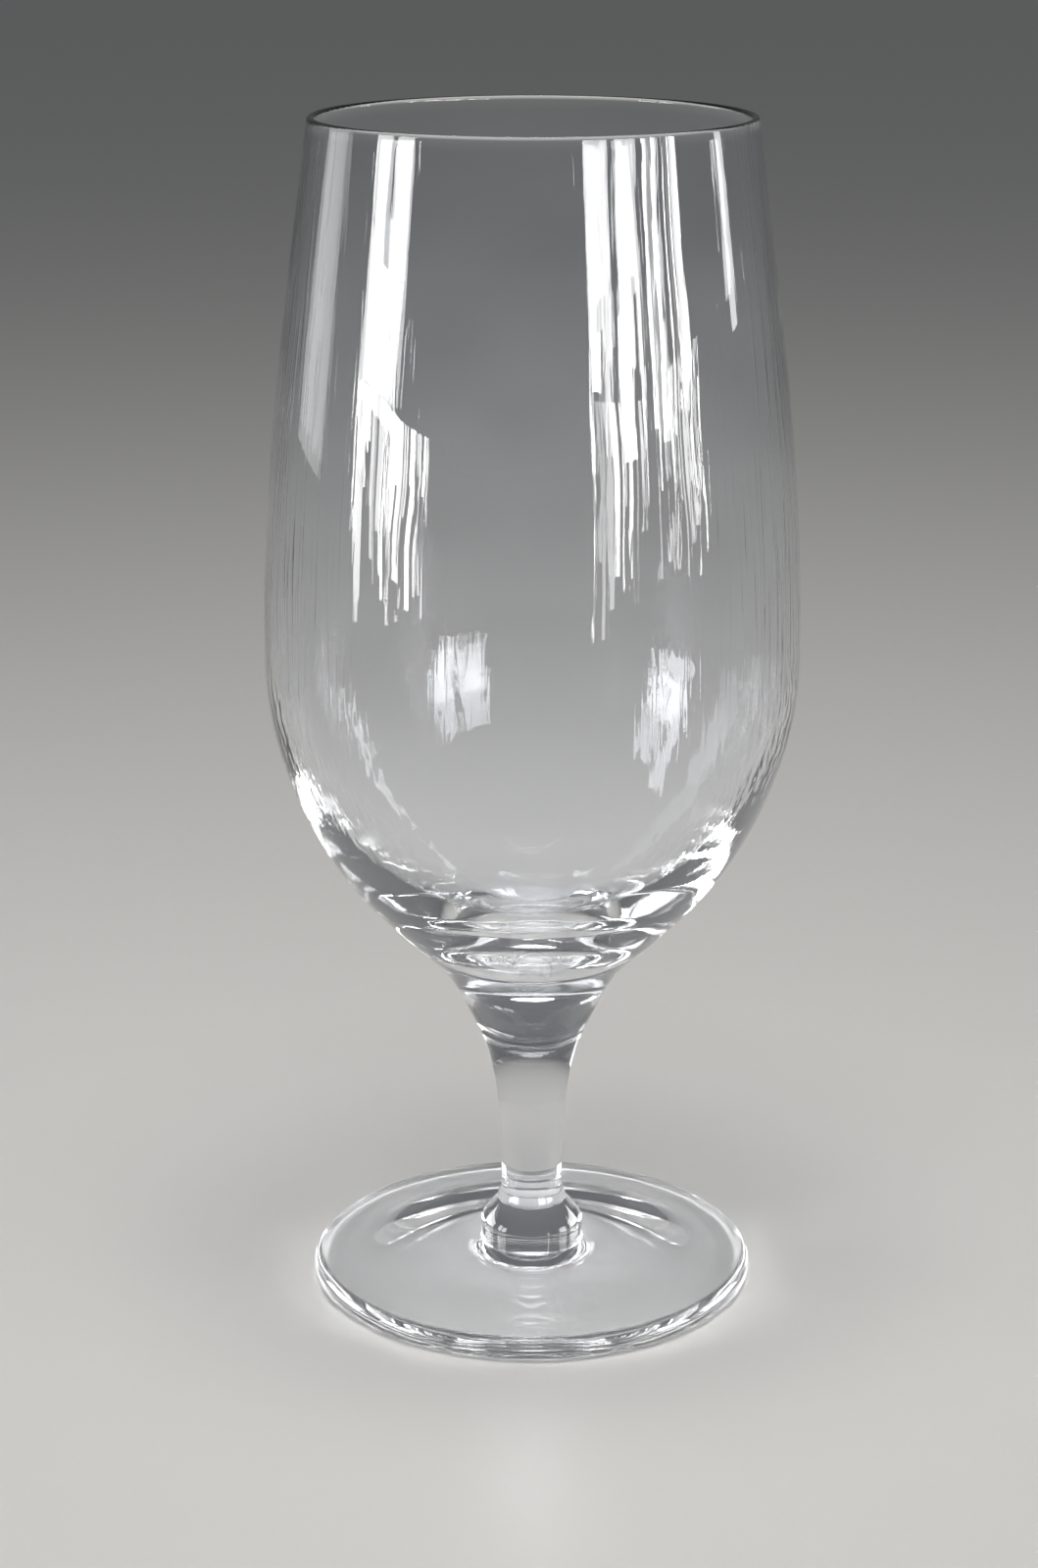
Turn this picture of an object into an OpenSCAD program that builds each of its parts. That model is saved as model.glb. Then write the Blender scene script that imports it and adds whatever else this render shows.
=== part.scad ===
// Stemmed beer glass: an egg-shaped bowl that narrows to its rim, on a short stem and a round foot.
// The bowl, the stem and the foot are three pieces of clear glass, fused end to end.
// Lengths are in millimetres and angles in degrees. The axis is Z, and the foot stands on z = 0.

/* [Bowl] */
// Height of the bowl, from its seam with the stem to the top of the rim
bowl_h = 141.6; // [125:0.1:160]
// Outside diameter of the rim
rim_d = 68.6; // [60:0.1:78]
// Largest outside diameter, at the belly
belly_d = 84.6; // [76:0.1:96]
// Height of the belly above the seam
belly_rise = 57.6; // [50:0.1:66]
// Outside diameter of the throat, where the belly turns into the flare of the stem
throat_d = 53.4; // [46:0.1:60]
// Height of the throat above the seam
throat_rise = 17.5; // [14:0.1:21]
// Slope of the outside at the throat, from the horizontal
throat_slope = 47; // [40:0.5:54]
// Inward lean of the wall at the rim, from the vertical
rim_lean = 7.5; // [2:0.5:12]
// Thickness of the wall at the rim, which the lip rounds off
rim_wall = 1.2; // [0.8:0.1:2]
// Thickness of the wall at the belly
belly_wall = 1.5; // [1:0.1:2.5]
// Thickness of glass between the seam and the floor inside the bowl
floor_t = 11.1; // [9:0.1:14]

/* [Stem] */
// Height of the stem, from its weld on the foot to its seam with the bowl
stem_h = 35.7; // [28:0.1:60]
// Diameter of the seam between stem and bowl
seam_d = 22.6; // [18:0.1:26]
// Slope of the outside at the seam, from the horizontal
seam_slope = 64; // [56:0.5:72]
// Smallest diameter of the stem, at its waist
waist_d = 10; // [8:0.1:14]
// Height of the waist above the weld
waist_rise = 3; // [2:0.1:8]
// Diameter of the weld ring between stem and foot
weld_d = 11.3; // [9:0.1:16]

/* [Foot] */
// Height of the foot, from the table to the weld
foot_h = 12.7; // [10:0.1:18]
// Diameter of the foot
foot_d = 72.4; // [60:0.1:86]
// Thickness of the rounded edge
edge_t = 3.9; // [2.5:0.1:4.5]
// Height of the tread, the top of the foot, where it meets the boss
tread_h = 5.6; // [4.6:0.1:6.4]
// Slope of the tread where it meets the boss
tread_slope = 5; // [1:0.5:8]
// Diameter of the boss that carries the stem
boss_d = 16.8; // [16.2:0.1:22]
// Height of the top of the boss's upright side
boss_side_h = 8.7; // [7:0.1:9.5]
// Width of the fillet between the tread and the boss
boss_fillet = 0.3; // [0.1:0.1:0.6]
// Slope of the boss's shoulder at the weld
shoulder_slope = 45; // [38:0.5:60]
// Width of the flat ring that the foot stands on
ring_w = 3.2; // [2:0.1:8]
// Rise of the hollow underside inside that ring
hollow_h = 3; // [1:0.1:4]
// Diameter of the swelling under the boss
swelling_d = 22; // [18:0.1:30]
// Height of the middle of that swelling above the table
swelling_h = 0.5; // [0.2:0.1:2]

/* [Smoothness] */
// Points along each curve
curve_steps = 24; // [8:1:60]
// Facets around the axis
facets = 144; // [48:12:240]

/* [Hidden] */

// Colour of clear glass, and how much it hides
glass_colour = "aliceblue";
glass_opacity_share = 0.35;

// Headings of travel along an outline, and half a turn
outward = 0;
upward = 90;
inward = 180;
downward = 270;
half_turn = 180;

// Pull of each curve at its start and its end, as shares of the distance between its two ends
flare_pull_shares = [0.37, 0.68];
belly_pull_shares = [0.18, 0.44];
wall_pull_shares = [0.36, 0.33];
lining_pull_shares = [0.33, 0.36];
floor_pull_shares = [0.4, 0.33];
bell_pull_shares = [0.3, 0.5];
stem_pull_shares = [0.68, 0.22];
swelling_pull_shares = [0.45, 0.35];
hollow_pull_shares = [0.3, 0.3];
tread_pull_shares = [0.33, 0.33];
fillet_pull_shares = [0.35, 0.35];
shoulder_pull_shares = [0.1, 0.72];

// Bowl outline, measured up from the seam
seam_point = [seam_d / 2, 0];
throat_point = [throat_d / 2, throat_rise];
belly_point = [belly_d / 2, belly_rise];
belly_inside = belly_point - [belly_wall, 0];
floor_point = [0, floor_t];
lip_r = rim_wall / 2;
lip_centre = [rim_d / 2 - lip_r, bowl_h - lip_r];
lip_outside = lip_centre + lip_r * heading(rim_lean);
lip_inside = lip_centre - lip_r * heading(rim_lean);

// Stem outline, measured up from the weld
weld_point = [weld_d / 2, 0];
waist_point = [waist_d / 2, waist_rise];
stem_top = [seam_d / 2, stem_h];

// Foot outline, measured up from the table
edge_r = edge_t / 2;
edge_centre = [foot_d / 2 - edge_r, edge_r];
ring_inside = [edge_centre.x - ring_w, 0];
swelling_low = [0, swelling_h];
hollow_top = [swelling_d / 2, hollow_h];
edge_top = edge_centre + [0, edge_r];
boss_foot = [boss_d / 2 + boss_fillet, tread_h];
boss_root = [boss_d / 2, tread_h + boss_fillet];
boss_side = [boss_d / 2, boss_side_h];
foot_top = [weld_d / 2, foot_h];

// Unit vector along an angle
function heading(angle) = [cos(angle), sin(angle)];

// Point at a share t of the way along a cubic curve with ends a and d and handles b and c
function curve_point(a, b, c, d, t) =
    a * pow(1 - t, 3) + 3 * b * t * pow(1 - t, 2) + 3 * c * pow(t, 2) * (1 - t) + d * pow(t, 3);

// Smooth curve that leaves a along one heading and arrives at d along another, without its last point
function curve(a, leave, d, arrive, pull_shares) =
    let (span = norm(d - a),
         b = a + span * pull_shares[0] * heading(leave),
         c = d - span * pull_shares[1] * heading(arrive))
    [for (i = [0:curve_steps - 1]) curve_point(a, b, c, d, i / curve_steps)];

// Half circle turning left from an angle, without its last point
function half_round(centre, r, from) =
    [for (i = [0:curve_steps - 1]) centre + r * heading(from + half_turn * i / curve_steps)];

// Solid of revolution about the axis
module turned(outline) {
    rotate_extrude($fn = facets) polygon(outline);
}

// Clear glass
module glass() {
    color(glass_colour, glass_opacity_share) children();
}

// Blown bowl: thin wall above a thick base, with a rounded lip
module bowl() {
    outline = concat(
        [[0, 0]],
        curve(seam_point, seam_slope, throat_point, throat_slope, flare_pull_shares),
        curve(throat_point, throat_slope, belly_point, upward, belly_pull_shares),
        curve(belly_point, upward, lip_outside, upward + rim_lean, wall_pull_shares),
        half_round(lip_centre, lip_r, rim_lean),
        curve(lip_inside, downward + rim_lean, belly_inside, downward, lining_pull_shares),
        curve(belly_inside, downward, floor_point, inward, floor_pull_shares),
        [floor_point]
    );
    glass() translate([0, 0, foot_h + stem_h]) turned(outline);
}

// Drawn stem: belled at the weld, narrow at the waist and flared up to the bowl
module stem() {
    outline = concat(
        [[0, 0]],
        curve(weld_point, upward, waist_point, upward, bell_pull_shares),
        curve(waist_point, upward, stem_top, seam_slope, stem_pull_shares),
        [stem_top, [0, stem_h]]
    );
    glass() translate([0, 0, foot_h]) turned(outline);
}

// Round foot: hollow underneath, rounded at the edge, with a boss that shoulders in to the weld
module foot() {
    outline = concat(
        curve(swelling_low, outward, hollow_top, outward, swelling_pull_shares),
        curve(hollow_top, outward, ring_inside, outward, hollow_pull_shares),
        [ring_inside],
        half_round(edge_centre, edge_r, downward),
        curve(edge_top, inward, boss_foot, inward - tread_slope, tread_pull_shares),
        curve(boss_foot, inward - tread_slope, boss_root, upward, fillet_pull_shares),
        [boss_root],
        curve(boss_side, upward, foot_top, inward - shoulder_slope, shoulder_pull_shares),
        [foot_top, [0, foot_h]]
    );
    glass() turned(outline);
}

bowl();
stem();
foot();
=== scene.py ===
"""Stemmed beer glass of clear glass, dressed for a studio picture.

The glass is three pieces fused end to end: a blown bowl, a drawn stem and a spun foot. Each is turned here
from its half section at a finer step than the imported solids, because clear glass shows every facet. Half
sections are in millimetres, as (radius, height above the table). Meshes are in metres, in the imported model's
frame.
"""

import logging
import math
import random
from dataclasses import dataclass
from enum import Enum

import bmesh
import bpy
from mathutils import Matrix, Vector
from mathutils.geometry import interpolate_bezier

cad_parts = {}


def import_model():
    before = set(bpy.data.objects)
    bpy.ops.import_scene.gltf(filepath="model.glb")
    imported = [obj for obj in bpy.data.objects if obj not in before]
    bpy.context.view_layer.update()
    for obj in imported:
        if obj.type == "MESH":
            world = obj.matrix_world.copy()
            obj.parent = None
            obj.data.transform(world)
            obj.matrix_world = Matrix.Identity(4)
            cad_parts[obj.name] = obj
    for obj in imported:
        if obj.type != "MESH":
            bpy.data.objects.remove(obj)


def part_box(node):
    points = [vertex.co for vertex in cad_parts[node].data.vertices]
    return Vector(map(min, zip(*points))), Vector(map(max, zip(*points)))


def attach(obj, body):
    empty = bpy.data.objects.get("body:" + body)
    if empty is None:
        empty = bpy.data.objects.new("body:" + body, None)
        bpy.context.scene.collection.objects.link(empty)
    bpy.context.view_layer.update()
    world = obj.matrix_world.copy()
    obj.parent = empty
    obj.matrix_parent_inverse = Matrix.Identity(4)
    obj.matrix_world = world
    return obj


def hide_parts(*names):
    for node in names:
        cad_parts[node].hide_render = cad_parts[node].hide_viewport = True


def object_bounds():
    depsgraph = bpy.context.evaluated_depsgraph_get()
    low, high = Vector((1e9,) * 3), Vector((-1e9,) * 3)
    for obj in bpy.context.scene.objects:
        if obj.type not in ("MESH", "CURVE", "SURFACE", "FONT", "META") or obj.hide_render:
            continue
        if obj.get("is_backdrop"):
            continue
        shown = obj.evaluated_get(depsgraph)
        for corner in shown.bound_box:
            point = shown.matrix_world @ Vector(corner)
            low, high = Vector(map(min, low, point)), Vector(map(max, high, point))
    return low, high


LOG = logging.getLogger("beer_glass")

MM = 0.001
BODY = "root"

HALF_TURN_DEG = 180.0
LEVEL_VIEW_DEG = 90.0

# Keeps a place's x and y, and drops its height
LEVEL = (1.0, 1.0, 0.0)

# Two fused pieces keep this sliver of air between them, so that a ray never meets both faces at once
SEAM_HAIR_MM = 0.001
# Points closer than this are one point
MERGE_M = 1e-8
# The table lies this far below the foot, which stands on a film of air as any hard glass does
AIR_FILM_MM = 0.05


def hex_to_linear(code: str) -> tuple[float, float, float, float]:
    """Turns an sRGB hex colour into linear light, by the standard's own curve.

    Args:
        code: colour such as "#f0f8f9".

    Returns:
        Linear red, green, blue and full opacity.
    """
    shares = [int(code[i:i + 2], 16) / 255 for i in (1, 3, 5)]
    linear = [s / 12.92 if s <= 0.04045 else ((s + 0.055) / 1.055) ** 2.4 for s in shares]
    return (*linear, 1.0)


def add_node(
    tree: bpy.types.NodeTree,
    kind: str,
    settings: dict[str, object] | None = None,
    inputs: dict[str | int, object] | None = None,
) -> bpy.types.Node:
    """Adds a node, sets its options and fills or links its inputs.

    Args:
        tree: node tree of a material, a lamp or the world.
        kind: Blender's name for the node.
        settings: the node's options, by attribute.
        inputs: values, or output sockets to link, by the input's name or number.

    Returns:
        The new node.
    """
    node = tree.nodes.new(kind)
    for name, value in (settings or {}).items():
        setattr(node, name, value)
    for name, value in (inputs or {}).items():
        if isinstance(value, bpy.types.NodeSocket):
            tree.links.new(value, node.inputs[name])
        else:
            node.inputs[name].default_value = value
    return node


class Heading(Enum):
    """Direction of travel along a half section, in degrees from straight outwards."""

    OUTWARD = 0.0
    UPWARD = 90.0
    INWARD = 180.0
    DOWNWARD = 270.0


def heading(angle: float) -> Vector:
    """Unit vector (radius, height) along an angle in degrees."""
    return Vector((math.cos(math.radians(angle)), math.sin(math.radians(angle))))


@dataclass(frozen=True)
class Bend:
    """How a curve of a half section runs between its two ends.

    The pulls say how far it keeps its first and its last heading, as shares of the distance between its
    ends. The steps are the pieces that it is cut into.
    """

    first_pull: float
    last_pull: float
    steps: int


class Outline:
    """Half section of a turned piece, drawn from point to point in millimetres."""

    def __init__(self, start: Vector) -> None:
        """Starts the outline at a point (radius, height)."""
        self.points = [start]

    def line_to(self, end: Vector) -> None:
        """Draws a straight line to a point."""
        self.points.append(end)

    def curve_to(self, end: Vector, leave: float, arrive: float, bend: Bend) -> None:
        """Draws a smooth curve to a point.

        Args:
            end: last point of the curve.
            leave: heading at the start, in degrees.
            arrive: heading at the end, in degrees.
            bend: how the curve runs between its ends.
        """
        start = self.points[-1]
        span = (end - start).length
        first = start + heading(leave) * span * bend.first_pull
        last = end - heading(arrive) * span * bend.last_pull
        curve = interpolate_bezier(start, first, last, end, bend.steps + 1)
        self.points += [Vector(point) for point in curve[1:]]

    def half_round_about(self, centre: Vector, steps: int) -> None:
        """Draws a half circle to the left about a centre.

        Args:
            centre: centre of the circle that the last point lies on.
            steps: pieces that the half circle is cut into.
        """
        arm = self.points[-1] - centre
        first = math.degrees(math.atan2(arm.y, arm.x))
        turns = [first + HALF_TURN_DEG * (i + 1) / steps for i in range(steps)]
        self.points += [centre + heading(turn) * arm.length for turn in turns]


@dataclass(frozen=True)
class GlassFinish:
    """Lead-free crystal glass, fire-polished: clear as water and colourless, with sharp white reflections.

    Broad swells, too shallow to feel, are left from when it was soft. They bend the edges of what it
    mirrors. The bloom is the faint haze of washing and handling, which softens a reflection here and there.
    Its pattern runs from 0 to 1, and the haze starts at the first of two levels and is full at the second.
    """

    name: str
    ior: float = 1.52
    tint: str = "#fbfcfe"
    swell_width_mm: float = 22.0
    swell_height_mm: float = 0.1
    bloom_width_mm: float = 9.0
    bloom_levels: tuple[float, float] = (0.5, 0.8)
    bloom_roughness: float = 0.03

    def height(self, tree: bpy.types.NodeTree, place: bpy.types.NodeSocket) -> bpy.types.NodeSocket:
        """Waves of the surface.

        Args:
            tree: node tree of the material.
            place: Object coordinates.

        Returns:
            Height in metres of the broad swells.
        """
        swells = add_node(tree, "ShaderNodeTexNoise", inputs={
            "Vector": place,
            "Scale": 1 / (self.swell_width_mm * MM),
            "Detail": 0.0,
        })
        swell = add_node(tree, "ShaderNodeMath", {"operation": "MULTIPLY"}, {
            0: swells.outputs["Fac"],
            1: self.swell_height_mm * MM,
        })
        return swell.outputs["Value"]

    def bloom(self, tree: bpy.types.NodeTree, place: bpy.types.NodeSocket) -> bpy.types.NodeSocket:
        """Haze of the surface.

        Args:
            tree: node tree of the material.
            place: Object coordinates.

        Returns:
            Roughness, nought over most of the glass.
        """
        patches = add_node(tree, "ShaderNodeTexNoise", inputs={
            "Vector": place,
            "Scale": 1 / (self.bloom_width_mm * MM),
            "Detail": 3.0,
        })
        haze = add_node(tree, "ShaderNodeMapRange", inputs={
            "Value": patches.outputs["Fac"],
            "From Min": self.bloom_levels[0],
            "From Max": self.bloom_levels[1],
            "To Min": 0.0,
            "To Max": self.bloom_roughness,
        })
        return haze.outputs["Result"]

    def material(self) -> bpy.types.Material:
        """Makes the material.

        Returns:
            Clear glass with the waves of its making and a trace of haze.
        """
        material = bpy.data.materials.new(self.name)
        material.use_nodes = True
        tree = material.node_tree
        tree.nodes.clear()
        place = add_node(tree, "ShaderNodeTexCoord").outputs["Object"]
        waves = add_node(tree, "ShaderNodeBump", inputs={
            "Strength": 1.0,
            "Distance": 1.0,
            "Height": self.height(tree, place),
        })
        surface = add_node(tree, "ShaderNodeBsdfPrincipled", inputs={
            "Base Color": hex_to_linear(self.tint),
            "Roughness": self.bloom(tree, place),
            "IOR": self.ior,
            "Transmission Weight": 1.0,
            "Normal": waves.outputs["Normal"],
        })
        add_node(tree, "ShaderNodeOutputMaterial", inputs={"Surface": surface.outputs["BSDF"]})
        return material


@dataclass(frozen=True)
class CordedGlass(GlassFinish):
    """Glass stretched along the axis while soft: fine cords run down it and streak what it mirrors.

    The cords lie apart on smooth glass. They have their full width and height at the reach, a distance from
    the axis, and are finer inside it. They stand highest at one level, and calm down above it, where the
    glass was reheated, and below it, where it was hardly stretched.
    """

    cord_reach_mm: float = 40.0
    cord_width_mm: float = 1.0
    cord_length_mm: float = 26.0
    cord_height_mm: float = 0.03
    cord_waver: float = 0.4
    cord_flank: tuple[float, float] = (0.5, 0.72)
    crest_z_mm: float = 118.0
    calm_above_mm: float = 62.0
    calm_below_mm: float = 24.0
    share_above: float = 0.3
    share_below: float = 0.06

    def height(self, tree: bpy.types.NodeTree, place: bpy.types.NodeSocket) -> bpy.types.NodeSocket:
        """Waves of the surface.

        Args:
            tree: node tree of the material.
            place: Object coordinates.

        Returns:
            Height in metres of the cords over the broad swells.
        """
        level = add_node(tree, "ShaderNodeVectorMath", {"operation": "MULTIPLY"}, {0: place, 1: LEVEL})
        radius = add_node(tree, "ShaderNodeVectorMath", {"operation": "LENGTH"}, {
            0: level.outputs["Vector"],
        })
        around = add_node(tree, "ShaderNodeVectorMath", {"operation": "NORMALIZE"}, {
            0: level.outputs["Vector"],
        })
        along = add_node(tree, "ShaderNodeVectorMath", {"operation": "MULTIPLY"}, {
            0: place,
            1: (0.0, 0.0, 1 / (self.cord_length_mm * MM)),
        })
        drawn_out = add_node(tree, "ShaderNodeVectorMath", {"operation": "MULTIPLY_ADD"}, {
            0: around.outputs["Vector"],
            1: (self.cord_reach_mm / self.cord_width_mm,) * 3,
            2: along.outputs["Vector"],
        })
        cords = add_node(tree, "ShaderNodeTexNoise", inputs={
            "Vector": drawn_out.outputs["Vector"],
            "Scale": 1.0,
            "Detail": 1.0,
            "Distortion": self.cord_waver,
        })
        ridges = add_node(tree, "ShaderNodeMapRange", {"interpolation_type": "SMOOTHSTEP"}, {
            "Value": cords.outputs["Fac"],
            "From Min": self.cord_flank[0],
            "From Max": self.cord_flank[1],
        })
        widened = add_node(tree, "ShaderNodeMath", {"operation": "MULTIPLY"}, {
            0: radius.outputs["Value"],
            1: self.cord_height_mm / self.cord_reach_mm,
        })
        split = add_node(tree, "ShaderNodeSeparateXYZ", inputs={"Vector": place})
        above = add_node(tree, "ShaderNodeMapRange", inputs={
            "Value": split.outputs["Z"],
            "From Min": self.crest_z_mm * MM,
            "From Max": (self.crest_z_mm + self.calm_above_mm) * MM,
            "To Min": 1.0,
            "To Max": self.share_above,
        })
        below = add_node(tree, "ShaderNodeMapRange", inputs={
            "Value": split.outputs["Z"],
            "From Min": (self.crest_z_mm - self.calm_below_mm) * MM,
            "From Max": self.crest_z_mm * MM,
            "To Min": self.share_below,
            "To Max": 1.0,
        })
        calm = add_node(tree, "ShaderNodeMath", {"operation": "MULTIPLY"}, {
            0: above.outputs["Result"],
            1: below.outputs["Result"],
        })
        cord = add_node(tree, "ShaderNodeMath", {"operation": "MULTIPLY"}, {
            0: widened.outputs["Value"],
            1: calm.outputs["Value"],
        })
        both = add_node(tree, "ShaderNodeMath", {"operation": "MULTIPLY_ADD"}, {
            0: ridges.outputs["Result"],
            1: cord.outputs["Value"],
            2: super().height(tree, place),
        })
        return both.outputs["Value"]


@dataclass(frozen=True)
class BlownGlass(CordedGlass):
    """Corded glass that the mould chilled below the belly, where short ripples break up what it mirrors."""

    ripple_width_mm: float = 1.8
    ripple_length_mm: float = 4.0
    ripple_height_mm: float = 0.06
    ripple_low_z_mm: float = 76.0
    ripple_high_z_mm: float = 116.0
    ripple_fade_mm: float = 12.0

    def height(self, tree: bpy.types.NodeTree, place: bpy.types.NodeSocket) -> bpy.types.NodeSocket:
        """Waves of the surface.

        Args:
            tree: node tree of the material.
            place: Object coordinates.

        Returns:
            Height in metres of the ripples over the cords and the broad swells.
        """
        across = 1 / (self.ripple_width_mm * MM)
        spaced = add_node(tree, "ShaderNodeVectorMath", {"operation": "MULTIPLY"}, {
            0: place,
            1: (across, across, 1 / (self.ripple_length_mm * MM)),
        })
        ripples = add_node(tree, "ShaderNodeTexNoise", inputs={
            "Vector": spaced.outputs["Vector"],
            "Scale": 1.0,
            "Detail": 1.0,
        })
        split = add_node(tree, "ShaderNodeSeparateXYZ", inputs={"Vector": place})
        rising = add_node(tree, "ShaderNodeMapRange", inputs={
            "Value": split.outputs["Z"],
            "From Min": self.ripple_low_z_mm * MM,
            "From Max": (self.ripple_low_z_mm + self.ripple_fade_mm) * MM,
            "To Min": 0.0,
            "To Max": self.ripple_height_mm * MM,
        })
        falling = add_node(tree, "ShaderNodeMapRange", inputs={
            "Value": split.outputs["Z"],
            "From Min": (self.ripple_high_z_mm - self.ripple_fade_mm) * MM,
            "From Max": self.ripple_high_z_mm * MM,
            "To Min": 1.0,
            "To Max": 0.0,
        })
        ripple = add_node(tree, "ShaderNodeMath", {"operation": "MULTIPLY"}, {
            0: rising.outputs["Result"],
            1: falling.outputs["Result"],
        })
        both = add_node(tree, "ShaderNodeMath", {"operation": "MULTIPLY_ADD"}, {
            0: ripples.outputs["Fac"],
            1: ripple.outputs["Value"],
            2: super().height(tree, place),
        })
        return both.outputs["Value"]


@dataclass(frozen=True)
class SpunGlass(GlassFinish):
    """Glass spun flat and trued as it turned: a smooth tread, and the tool's fine lines round the edge."""

    line_width_mm: float = 0.5
    line_height_mm: float = 0.02
    line_inside_r_mm: float = 33.2
    line_outside_r_mm: float = 34.8

    def height(self, tree: bpy.types.NodeTree, place: bpy.types.NodeSocket) -> bpy.types.NodeSocket:
        """Waves of the surface.

        Args:
            tree: node tree of the material.
            place: Object coordinates.

        Returns:
            Height in metres of the lines round the edge over the broad swells.
        """
        split = add_node(tree, "ShaderNodeSeparateXYZ", inputs={"Vector": place})
        lines = add_node(tree, "ShaderNodeTexNoise", {"noise_dimensions": "1D"}, {
            "W": split.outputs["Z"],
            "Scale": 1 / (self.line_width_mm * MM),
            "Detail": 1.0,
        })
        level = add_node(tree, "ShaderNodeVectorMath", {"operation": "MULTIPLY"}, {0: place, 1: LEVEL})
        radius = add_node(tree, "ShaderNodeVectorMath", {"operation": "LENGTH"}, {
            0: level.outputs["Vector"],
        })
        line = add_node(tree, "ShaderNodeMapRange", inputs={
            "Value": radius.outputs["Value"],
            "From Min": self.line_inside_r_mm * MM,
            "From Max": self.line_outside_r_mm * MM,
            "To Min": 0.0,
            "To Max": self.line_height_mm * MM,
        })
        both = add_node(tree, "ShaderNodeMath", {"operation": "MULTIPLY_ADD"}, {
            0: lines.outputs["Fac"],
            1: line.outputs["Result"],
            2: super().height(tree, place),
        })
        return both.outputs["Value"]


@dataclass(frozen=True)
class FusedSeam:
    """Glass melted into glass: the two pieces are one body there, so the seam between them doesn't show."""

    name: str = "fused_seam"
    tint: str = "#ffffff"

    def material(self) -> bpy.types.Material:
        """Makes the material.

        Returns:
            A surface that lets all light through unbent.
        """
        material = bpy.data.materials.new(self.name)
        material.use_nodes = True
        tree = material.node_tree
        tree.nodes.clear()
        clear = add_node(tree, "ShaderNodeBsdfTransparent", inputs={"Color": hex_to_linear(self.tint)})
        add_node(tree, "ShaderNodeOutputMaterial", inputs={"Surface": clear.outputs["BSDF"]})
        return material


class Skin(Enum):
    """Kinds of face on a piece of the glass, by material slot."""

    OUTSIDE = 0
    FUSED = 1
    INSIDE = 2


@dataclass
class TurnedPiece:
    """A piece of the glass, turned about the axis from its half section.

    The piece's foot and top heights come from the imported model, so it sits where its solid does.
    """

    name: str
    node: str
    foot_z: float
    top_z: float
    facets: int = 256

    def outline(self) -> Outline:
        """Half section of the piece, from the axis round to the axis again."""
        raise NotImplementedError

    def seams(self) -> list[float]:
        """Heights in millimetres of the flat faces where the piece is fused to its neighbours."""
        raise NotImplementedError

    def skin(self, face: bmesh.types.BMFace) -> Skin:
        """Tells the kinds of face apart.

        Args:
            face: face of the turned mesh, pointing out of the glass.

        Returns:
            FUSED on a flat seam, INSIDE where the face looks towards the axis and OUTSIDE elsewhere.
        """
        heights = [v.co.z / MM for v in face.verts]
        if any(max(abs(h - seam) for h in heights) < SEAM_HAIR_MM / 2 for seam in self.seams()):
            return Skin.FUSED
        away = face.calc_center_median()
        away.z = 0.0
        return Skin.INSIDE if face.normal.dot(away) < 0 else Skin.OUTSIDE

    def build(self) -> bpy.types.Object:
        """Turns the half section into a closed mesh.

        Returns:
            The piece, at the origin, with each kind of face in its own material slot.
        """
        shape = bmesh.new()
        section = [shape.verts.new((p.x * MM, 0.0, p.y * MM)) for p in self.outline().points]
        edges = [shape.edges.new(pair) for pair in zip(section, section[1:])]
        bmesh.ops.spin(
            shape, geom=section + edges, cent=(0, 0, 0), axis=(0, 0, 1), dvec=(0, 0, 0),
            angle=math.tau, steps=self.facets, use_merge=True,
        )
        bmesh.ops.remove_doubles(shape, verts=shape.verts, dist=MERGE_M)
        bmesh.ops.recalc_face_normals(shape, faces=shape.faces)
        shape.normal_update()
        for face in shape.faces:
            skin = self.skin(face)
            face.material_index = skin.value
            face.smooth = skin is not Skin.FUSED
        for edge in shape.edges:
            edge.smooth = len({face.smooth for face in edge.link_faces}) == 1
        mesh = bpy.data.meshes.new(self.name)
        shape.to_mesh(mesh)
        shape.free()
        piece = bpy.data.objects.new(self.name, mesh)
        bpy.context.scene.collection.objects.link(piece)
        return piece

    def dress(self, piece: bpy.types.Object, finishes: dict[Skin, GlassFinish | FusedSeam]) -> None:
        """Gives the piece its finishes and puts it in place of its solid.

        Args:
            piece: object that build made.
            finishes: finish of each kind of face.
        """
        for skin in Skin:
            piece.data.materials.append(finishes[skin].material())
        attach(piece, BODY)
        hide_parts(self.node)


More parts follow.
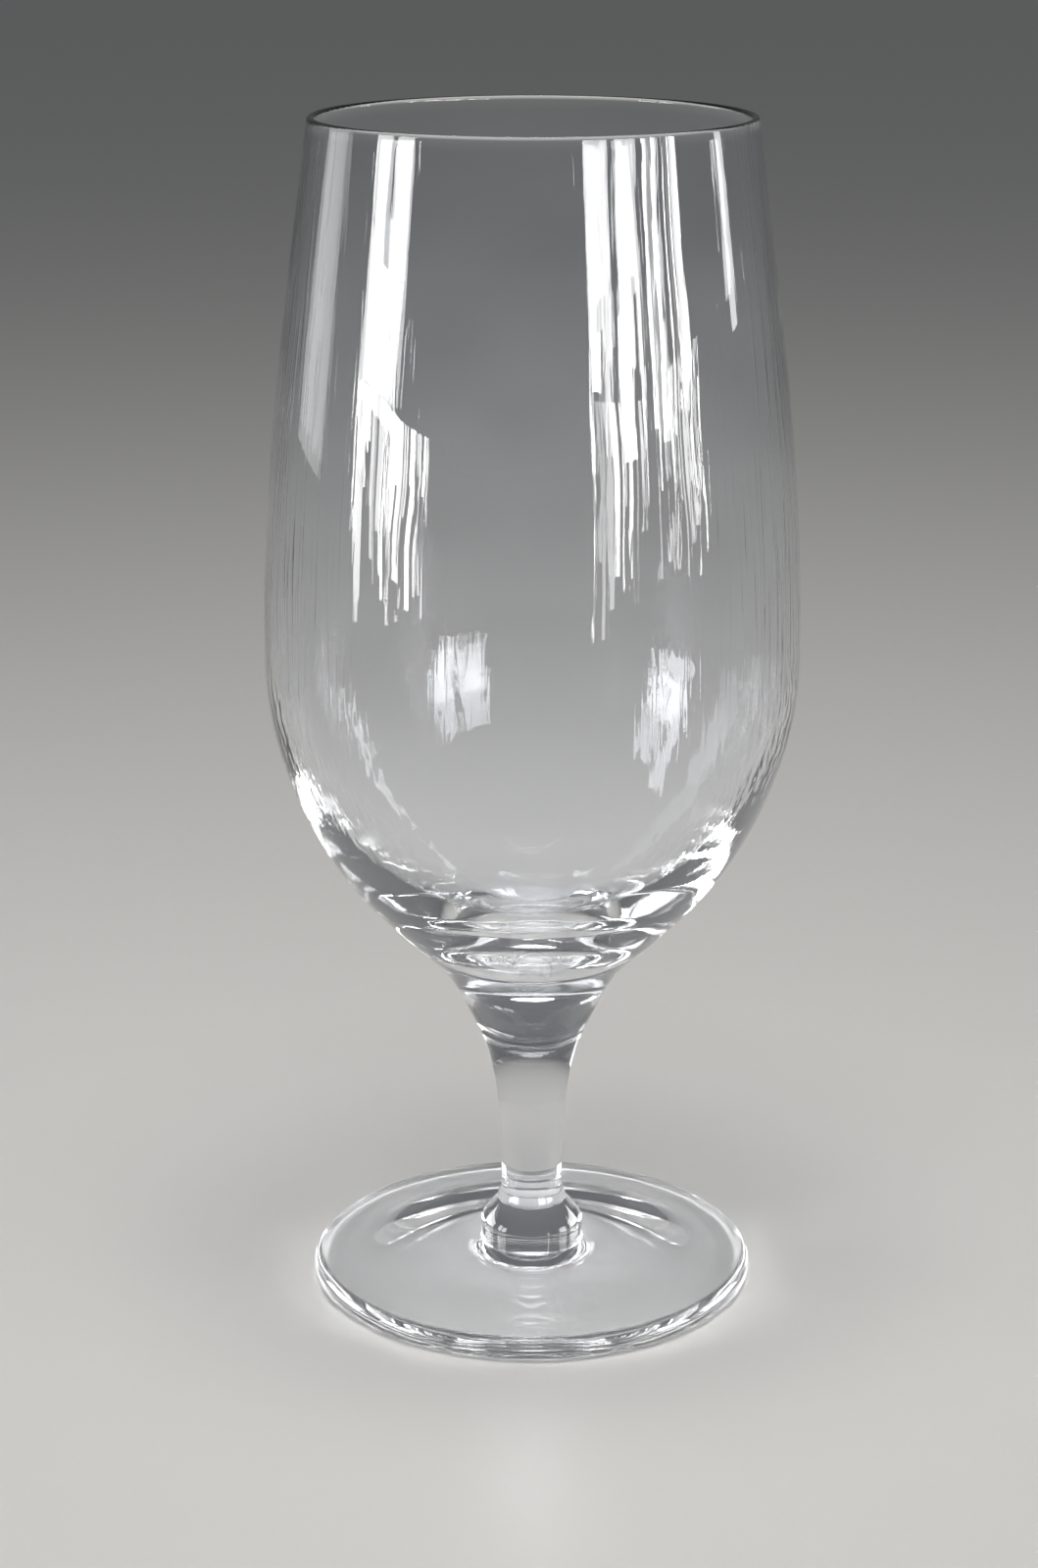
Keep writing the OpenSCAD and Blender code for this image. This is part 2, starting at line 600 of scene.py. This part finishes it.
@dataclass
class Bowl(TurnedPiece):
    """Blown bowl: an egg shape that narrows to a thin rounded lip, over a thick solid base.

    Sizes are in millimetres, and slopes and the rim's inward lean in degrees.
    """

    seam_r: float = 11.3
    seam_slope: float = 64.0
    throat: tuple[float, float] = (26.7, 17.5)
    throat_slope: float = 47.0
    belly_r: float = 42.3
    belly_rise: float = 57.6
    rim_r: float = 34.3
    rim_lean: float = 7.5
    rim_wall: float = 1.2
    belly_wall: float = 1.5
    floor_t: float = 11.1
    flare_bend: Bend = Bend(0.37, 0.68, 36)
    belly_bend: Bend = Bend(0.18, 0.44, 44)
    wall_bend: Bend = Bend(0.36, 0.33, 48)
    lip_steps: int = 16
    lining_bend: Bend = Bend(0.33, 0.36, 48)
    floor_bend: Bend = Bend(0.4, 0.33, 56)

    def outline(self) -> Outline:
        """Draws the half section.

        Returns:
            The outline up the outside, over the lip and down the inside.
        """
        seam_z = self.foot_z + SEAM_HAIR_MM
        throat = Vector((self.throat[0], self.foot_z + self.throat[1]))
        belly = Vector((self.belly_r, self.foot_z + self.belly_rise))
        lip_r = self.rim_wall / 2
        lip = Vector((self.rim_r - lip_r, self.top_z - lip_r))
        lip_outside = lip + heading(self.rim_lean) * lip_r
        rim_up = Heading.UPWARD.value + self.rim_lean
        rim_down = Heading.DOWNWARD.value + self.rim_lean
        outline = Outline(Vector((0.0, seam_z)))
        outline.line_to(Vector((self.seam_r, seam_z)))
        outline.curve_to(throat, self.seam_slope, self.throat_slope, self.flare_bend)
        outline.curve_to(belly, self.throat_slope, Heading.UPWARD.value, self.belly_bend)
        outline.curve_to(lip_outside, Heading.UPWARD.value, rim_up, self.wall_bend)
        outline.half_round_about(lip, self.lip_steps)
        belly_inside = belly - Vector((self.belly_wall, 0.0))
        floor = Vector((0.0, self.foot_z + self.floor_t))
        outline.curve_to(belly_inside, rim_down, Heading.DOWNWARD.value, self.lining_bend)
        outline.curve_to(floor, Heading.DOWNWARD.value, Heading.INWARD.value, self.floor_bend)
        return outline

    def seams(self) -> list[float]:
        """Height of the face fused to the stem."""
        return [self.foot_z + SEAM_HAIR_MM]


@dataclass
class Stem(TurnedPiece):
    """Drawn stem: belled where it meets the foot, narrow above that and flared to the bowl.

    Sizes are in millimetres, and the slope in degrees.
    """

    weld_r: float = 5.65
    waist_r: float = 5.0
    waist_rise: float = 3.0
    seam_r: float = 11.3
    seam_slope: float = 64.0
    bell_bend: Bend = Bend(0.3, 0.5, 24)
    flare_bend: Bend = Bend(0.68, 0.22, 56)

    def outline(self) -> Outline:
        """Draws the half section.

        Returns:
            The outline up the outside, between the two fused faces.
        """
        weld_z = self.foot_z + SEAM_HAIR_MM
        seam_z = self.top_z - SEAM_HAIR_MM
        waist = Vector((self.waist_r, self.foot_z + self.waist_rise))
        seam = Vector((self.seam_r, seam_z))
        outline = Outline(Vector((0.0, weld_z)))
        outline.line_to(Vector((self.weld_r, weld_z)))
        outline.curve_to(waist, Heading.UPWARD.value, Heading.UPWARD.value, self.bell_bend)
        outline.curve_to(seam, Heading.UPWARD.value, self.seam_slope, self.flare_bend)
        outline.line_to(Vector((0.0, seam_z)))
        return outline

    def seams(self) -> list[float]:
        """Heights of the faces fused to the foot and the bowl."""
        return [self.foot_z + SEAM_HAIR_MM, self.top_z - SEAM_HAIR_MM]


@dataclass
class Foot(TurnedPiece):
    """Spun foot: hollow underneath, rounded at the edge, with a boss for the stem.

    Sizes are in millimetres, and slopes in degrees.
    """

    edge_r: float = 36.2
    edge_t: float = 3.9
    tread_h: float = 5.6
    tread_slope: float = 5.0
    boss_r: float = 8.4
    boss_side_h: float = 8.7
    boss_fillet: float = 0.3
    shoulder_slope: float = 45.0
    weld_r: float = 5.65
    ring_w: float = 3.2
    hollow_h: float = 3.0
    swelling_r: float = 11.0
    swelling_h: float = 0.5
    swelling_bend: Bend = Bend(0.45, 0.35, 36)
    hollow_bend: Bend = Bend(0.3, 0.3, 36)
    edge_steps: int = 32
    tread_bend: Bend = Bend(0.33, 0.33, 48)
    fillet_bend: Bend = Bend(0.35, 0.35, 12)
    shoulder_bend: Bend = Bend(0.1, 0.72, 40)

    def outline(self) -> Outline:
        """Draws the half section.

        Returns:
            The outline out along the underside, round the edge and in over the top.
        """
        weld_z = self.top_z - SEAM_HAIR_MM
        hollow = Vector((self.swelling_r, self.foot_z + self.hollow_h))
        edge = Vector((self.edge_r - self.edge_t / 2, self.foot_z + self.edge_t / 2))
        ring_inside = Vector((edge.x - self.ring_w, self.foot_z))
        boss_foot = Vector((self.boss_r + self.boss_fillet, self.foot_z + self.tread_h))
        boss_root = Vector((self.boss_r, boss_foot.y + self.boss_fillet))
        boss_side = Vector((self.boss_r, self.foot_z + self.boss_side_h))
        weld = Vector((self.weld_r, weld_z))
        tread_in = Heading.INWARD.value - self.tread_slope
        shoulder_in = Heading.INWARD.value - self.shoulder_slope
        outline = Outline(Vector((0.0, self.foot_z + self.swelling_h)))
        outline.curve_to(hollow, Heading.OUTWARD.value, Heading.OUTWARD.value, self.swelling_bend)
        outline.curve_to(ring_inside, Heading.OUTWARD.value, Heading.OUTWARD.value, self.hollow_bend)
        outline.line_to(Vector((edge.x, self.foot_z)))
        outline.half_round_about(edge, self.edge_steps)
        outline.curve_to(boss_foot, Heading.INWARD.value, tread_in, self.tread_bend)
        outline.curve_to(boss_root, tread_in, Heading.UPWARD.value, self.fillet_bend)
        outline.line_to(boss_side)
        outline.curve_to(weld, Heading.UPWARD.value, shoulder_in, self.shoulder_bend)
        outline.line_to(Vector((0.0, weld_z)))
        return outline

    def seams(self) -> list[float]:
        """Height of the face fused to the stem."""
        return [self.top_z - SEAM_HAIR_MM]


class Side(Enum):
    """Side of the camera that a lamp stands on."""

    LEFT = -1.0
    RIGHT = 1.0


class Lit(Enum):
    """What a softbox lights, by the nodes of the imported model."""

    WHOLE = ("bowl", "stem", "foot")
    ABOVE_FOOT = ("bowl", "stem")
    FOOT = ("foot",)


@dataclass(frozen=True)
class Softbox:
    """A plain softbox with a cloth grid, aimed at the glass and lighting that alone.

    Lengths are in metres, and a brightness of 1 looks white. The azimuth counts from the camera round to the
    lamp's side. A softbox that isn't seen through the glass is only mirrored by it.
    """

    name: str
    side: Side
    azimuth_deg: float
    width: float
    low_z: float = 0.03
    high_z: float = 0.63
    brightness: float = 14.0
    distance: float = 1.2
    spread_deg: float = 90.0
    lit: Lit = Lit.WHOLE
    seen_through: bool = True

    def build(self, aim: Vector, groups: dict[Lit, bpy.types.Collection]) -> bpy.types.Object:
        """Makes the lamp.

        Args:
            aim: point that the lamp faces.
            groups: pieces of the glass, by what a softbox can light.

        Returns:
            The lamp, unseen by the camera itself.
        """
        height = self.high_z - self.low_z
        half = math.radians(self.spread_deg) / 2
        # A lamp of narrow spread keeps its power, so head on it is brighter by this much
        grid_gain = math.tan(half) / (math.tan(half) - half)
        light = bpy.data.lights.new(self.name, "AREA")
        light.shape = "RECTANGLE"
        light.size, light.size_y = self.width, height
        light.spread = math.radians(self.spread_deg)
        light.energy = self.brightness * math.pi * self.width * height / grid_gain
        lamp = bpy.data.objects.new(self.name, light)
        turn = math.radians(self.azimuth_deg) * self.side.value
        lamp.location = (
            math.sin(turn) * self.distance,
            -math.cos(turn) * self.distance,
            self.low_z + height / 2,
        )
        facing = aim - lamp.location
        facing.z = 0.0
        lamp.rotation_mode = "QUATERNION"
        lamp.rotation_quaternion = facing.to_track_quat("-Z", "Y")
        lamp.visible_camera = False
        lamp.visible_transmission = self.seen_through
        lamp.light_linking.receiver_collection = groups[self.lit]
        bpy.context.scene.collection.objects.link(lamp)
        return lamp


@dataclass(frozen=True)
class SlattedBlind:
    """Lit cloth between uneven upright slats, which the glass mirrors as streaks. Lengths in metres.

    The strips of cloth run from one azimuth to another. They end at uneven heights, up to the given height
    above the lowest, and their place, width and brightness vary by the given share.
    """

    name: str
    side: Side
    first_deg: float
    last_deg: float
    strips: int
    low_z: float
    uneven_z: float
    high_z: float
    strip_width: float
    brightness: float = 19.0
    distance: float = 0.55
    unevenness: float = 0.7
    seed: int = 4
    seen_through: bool = False

    def softboxes(self) -> list[Softbox]:
        """Strips of lit cloth.

        Returns:
            One narrow softbox for each strip, no two alike in place, width, length and brightness.
        """
        chance = random.Random(self.seed)
        pitch = (self.last_deg - self.first_deg) / (self.strips - 1)
        boxes = []
        for strip in range(self.strips):
            shift, widen, lighten = (chance.uniform(-self.unevenness, self.unevenness) for _ in range(3))
            low_z = chance.uniform(self.low_z, self.low_z + self.uneven_z)
            boxes.append(Softbox(
                f"{self.name}_{strip}",
                self.side,
                azimuth_deg=self.first_deg + pitch * (strip + shift / 2),
                width=self.strip_width * (1 + widen),
                low_z=low_z,
                high_z=self.high_z,
                brightness=self.brightness * (1 + lighten),
                distance=self.distance,
                lit=Lit.ABOVE_FOOT,
                seen_through=self.seen_through,
            ))
        return boxes


@dataclass(frozen=True)
class OverheadLamp:
    """A round soft lamp above the table, which sets the plain level of light on it. Lengths in metres."""

    name: str
    place: tuple[float, float, float]
    diameter: float
    brightness: float

    def build(self) -> bpy.types.Object:
        """Makes the lamp.

        Returns:
            The lamp, facing straight down and mirrored nowhere.
        """
        area = math.pi * self.diameter ** 2 / 4
        light = bpy.data.lights.new(self.name, "AREA")
        light.shape = "DISK"
        light.size = self.diameter
        light.energy = self.brightness * math.pi * area
        lamp = bpy.data.objects.new(self.name, light)
        lamp.location = self.place
        lamp.visible_camera = False
        lamp.visible_glossy = False
        bpy.context.scene.collection.objects.link(lamp)
        return lamp


@dataclass(frozen=True)
class Studio:
    """Plain pale floor, soft lamps, dim surroundings and the photograph's camera. Lengths in metres.

    The glow of the surroundings is the light that comes from each direction, where 1 is white. It grows from
    the horizon, where it is like that of the far floor, up to a height given as the sine of its angle.

    The bowl mirrors the keys, the fill and the blinds, either side of the camera, as bright bands that end
    in streaks. The foot's own softboxes whiten its edge, and the edge softboxes draw the sides of the bowl.
    """

    floor_colour: str = "#d9d7d3"
    floor_roughness: float = 0.3
    floor_size: float = 60.0
    surround_colour: str = "#f4f7fb"
    horizon_glow: float = 0.112
    ceiling_glow: float = 0.15
    ceiling_rise: float = 0.35
    camera_distance: float = 0.506
    camera_height: float = 0.2368
    camera_pitch_deg: float = 16.77
    camera_yaw_deg: float = 0.239
    lens_mm: float = 75.64
    sensor_mm: float = 36.0
    light_bounces: int = 32
    softboxes: tuple[Softbox, ...] = (
        Softbox("key_left", Side.LEFT, azimuth_deg=71.5, width=0.45, low_z=0.15, high_z=0.28),
        Softbox("key_left_near", Side.LEFT, azimuth_deg=65.7, width=0.204, low_z=0.28),
        Softbox("key_left_far", Side.LEFT, azimuth_deg=77.8, width=0.184, low_z=0.28),
        Softbox(
            "key_right_near", Side.RIGHT, azimuth_deg=30.5, width=0.254, low_z=0.285, lit=Lit.ABOVE_FOOT,
        ),
        Softbox(
            "key_right_far", Side.RIGHT, azimuth_deg=45.0, width=0.218, low_z=0.285, lit=Lit.ABOVE_FOOT,
        ),
        Softbox("foot_right_front", Side.RIGHT, azimuth_deg=38.0, width=0.07, high_z=0.4, lit=Lit.FOOT),
        Softbox("foot_right_side", Side.RIGHT, azimuth_deg=75.0, width=0.4, high_z=0.5, lit=Lit.FOOT),
        Softbox("foot_right_back", Side.RIGHT, azimuth_deg=112.0, width=0.7, high_z=0.5, lit=Lit.FOOT),
        Softbox("foot_left_back", Side.LEFT, azimuth_deg=112.0, width=0.7, high_z=0.5, lit=Lit.FOOT),
        Softbox("edge_left", Side.LEFT, azimuth_deg=113.0, width=0.4, brightness=2.0),
        Softbox("edge_right", Side.RIGHT, azimuth_deg=104.0, width=0.1, low_z=0.16, brightness=8.0),
    )
    blinds: tuple[SlattedBlind, ...] = (
        SlattedBlind(
            "blind_left", Side.LEFT, first_deg=45.0, last_deg=80.0, strips=26,
            low_z=0.03, uneven_z=0.11, high_z=0.16, strip_width=0.0125,
        ),
        SlattedBlind(
            "key_right_low", Side.RIGHT, first_deg=26.5, last_deg=48.3, strips=7,
            low_z=0.12, uneven_z=0.13, high_z=0.285, strip_width=0.085,
            brightness=14.0, distance=1.2, seen_through=True,
        ),
        SlattedBlind(
            "blind_right_near", Side.RIGHT, first_deg=25.5, last_deg=48.0, strips=11,
            low_z=0.03, uneven_z=0.1, high_z=0.18, strip_width=0.014, seed=7,
        ),
        SlattedBlind(
            "fill_right", Side.RIGHT, first_deg=54.5, last_deg=73.0, strips=10,
            low_z=0.15, uneven_z=0.03, high_z=0.63, strip_width=0.032,
            brightness=17.0, distance=1.2, seed=5,
        ),
        SlattedBlind(
            "blind_right_far", Side.RIGHT, first_deg=54.0, last_deg=76.0, strips=14,
            low_z=0.05, uneven_z=0.08, high_z=0.18, strip_width=0.01, brightness=13.0,
        ),
    )
    overhead: OverheadLamp = OverheadLamp("overhead", place=(0.0, -0.1, 0.9), diameter=0.48, brightness=12.0)

    def build_floor(self) -> bpy.types.Object:
        """Makes the floor.

        Returns:
            A wide plane at the height that the glass stands on, with a satin pale coat.
        """
        shape = bmesh.new()
        bmesh.ops.create_grid(shape, x_segments=1, y_segments=1, size=self.floor_size / 2)
        bmesh.ops.translate(shape, verts=shape.verts, vec=(0.0, 0.0, -AIR_FILM_MM * MM))
        mesh = bpy.data.meshes.new("studio_floor")
        shape.to_mesh(mesh)
        shape.free()
        floor = bpy.data.objects.new("studio_floor", mesh)
        bpy.context.scene.collection.objects.link(floor)
        material = bpy.data.materials.new("satin_pale_coat")
        material.use_nodes = True
        tree = material.node_tree
        tree.nodes.clear()
        coat = add_node(tree, "ShaderNodeBsdfPrincipled", inputs={
            "Base Color": hex_to_linear(self.floor_colour),
            "Roughness": self.floor_roughness,
        })
        add_node(tree, "ShaderNodeOutputMaterial", inputs={"Surface": coat.outputs["BSDF"]})
        mesh.materials.append(material)
        floor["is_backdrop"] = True
        return floor

    def build_surround(self) -> None:
        """Makes the dim surroundings of the studio, which have no edge at the horizon."""
        world = bpy.data.worlds.new("dim_studio")
        world.use_nodes = True
        tree = world.node_tree
        tree.nodes.clear()
        towards = add_node(tree, "ShaderNodeTexCoord").outputs["Generated"]
        split = add_node(tree, "ShaderNodeSeparateXYZ", inputs={"Vector": towards})
        rise = add_node(tree, "ShaderNodeMapRange", {"interpolation_type": "SMOOTHSTEP"}, {
            "Value": split.outputs["Z"],
            "From Min": 0.0,
            "From Max": self.ceiling_rise,
            "To Min": self.horizon_glow,
            "To Max": self.ceiling_glow,
        })
        glow = add_node(tree, "ShaderNodeBackground", inputs={
            "Color": hex_to_linear(self.surround_colour),
            "Strength": rise.outputs["Result"],
        })
        add_node(tree, "ShaderNodeOutputWorld", inputs={"Surface": glow.outputs["Background"]})
        bpy.context.scene.world = world

    def build_lamps(self, aim: Vector, pieces: dict[str, bpy.types.Object]) -> list[bpy.types.Object]:
        """Makes the lamps.

        Args:
            aim: middle of the glass.
            pieces: pieces of the glass, by node, which the softboxes light.

        Returns:
            The softboxes, the lit strips of the blinds and the lamp overhead.
        """
        strips = [strip for blind in self.blinds for strip in blind.softboxes()]
        groups = {}
        for lit in Lit:
            groups[lit] = bpy.data.collections.new(f"lit_{lit.name.lower()}")
            for node in lit.value:
                groups[lit].objects.link(pieces[node])
        return [box.build(aim, groups) for box in (*self.softboxes, *strips)] + [self.overhead.build()]

    def build_camera(self) -> bpy.types.Object:
        """Makes the camera at the place that the photograph was taken from.

        Returns:
            The scene's camera.
        """
        data = bpy.data.cameras.new("photograph_view")
        data.lens = self.lens_mm
        data.sensor_width = self.sensor_mm
        camera = bpy.data.objects.new("photograph_view", data)
        camera.location = (0.0, -self.camera_distance, self.camera_height)
        tilt = math.radians(LEVEL_VIEW_DEG - self.camera_pitch_deg)
        camera.rotation_euler = (tilt, 0.0, math.radians(self.camera_yaw_deg))
        bpy.context.scene.collection.objects.link(camera)
        bpy.context.scene.camera = camera
        return camera

    def set_light_paths(self) -> None:
        """Sets the plain view transform, and lets light cross the many walls of the glass undimmed."""
        scene = bpy.context.scene
        scene.view_settings.view_transform = "Standard"
        scene.cycles.max_bounces = self.light_bounces
        scene.cycles.transmission_bounces = self.light_bounces
        scene.cycles.glossy_bounces = self.light_bounces
        scene.cycles.transparent_max_bounces = self.light_bounces
        scene.cycles.blur_glossy = 0.0


def height_span(node: str) -> tuple[float, float]:
    """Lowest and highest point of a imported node, in millimetres."""
    low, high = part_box(node)
    return low.z / MM, high.z / MM


def main() -> None:
    """Builds the glass and its studio."""
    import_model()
    solid_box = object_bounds()
    blown_outside = CordedGlass(
        "blown_crystal_outside", swell_width_mm=16.0, swell_height_mm=0.25, cord_height_mm=0.008,
    )
    blown_inside = BlownGlass("blown_crystal_inside")
    drawn = CordedGlass(
        "drawn_crystal", swell_height_mm=0.05, cord_reach_mm=5.5, cord_height_mm=0.003, cord_waver=0.0,
        share_above=1.0, share_below=1.0,
    )
    spun = SpunGlass("spun_crystal", swell_height_mm=0.03)
    pieces = (
        (Bowl("blown_bowl", "bowl", *height_span("bowl")), blown_outside, blown_inside),
        (Stem("drawn_stem", "stem", *height_span("stem")), drawn, drawn),
        (Foot("spun_foot", "foot", *height_span("foot")), spun, spun),
    )
    glass = {}
    for piece, outside, inside in pieces:
        made = piece.build()
        piece.dress(made, {Skin.OUTSIDE: outside, Skin.FUSED: FusedSeam(), Skin.INSIDE: inside})
        LOG.info("%s: %d faces", made.name, len(made.data.polygons))
        glass[piece.node] = made
    studio = Studio()
    low, high = solid_box
    studio.build_floor()
    studio.build_surround()
    studio.build_lamps((low + high) / 2, glass)
    studio.build_camera()
    studio.set_light_paths()


if __name__ == "__main__":
    logging.basicConfig(level=logging.INFO)
    main()
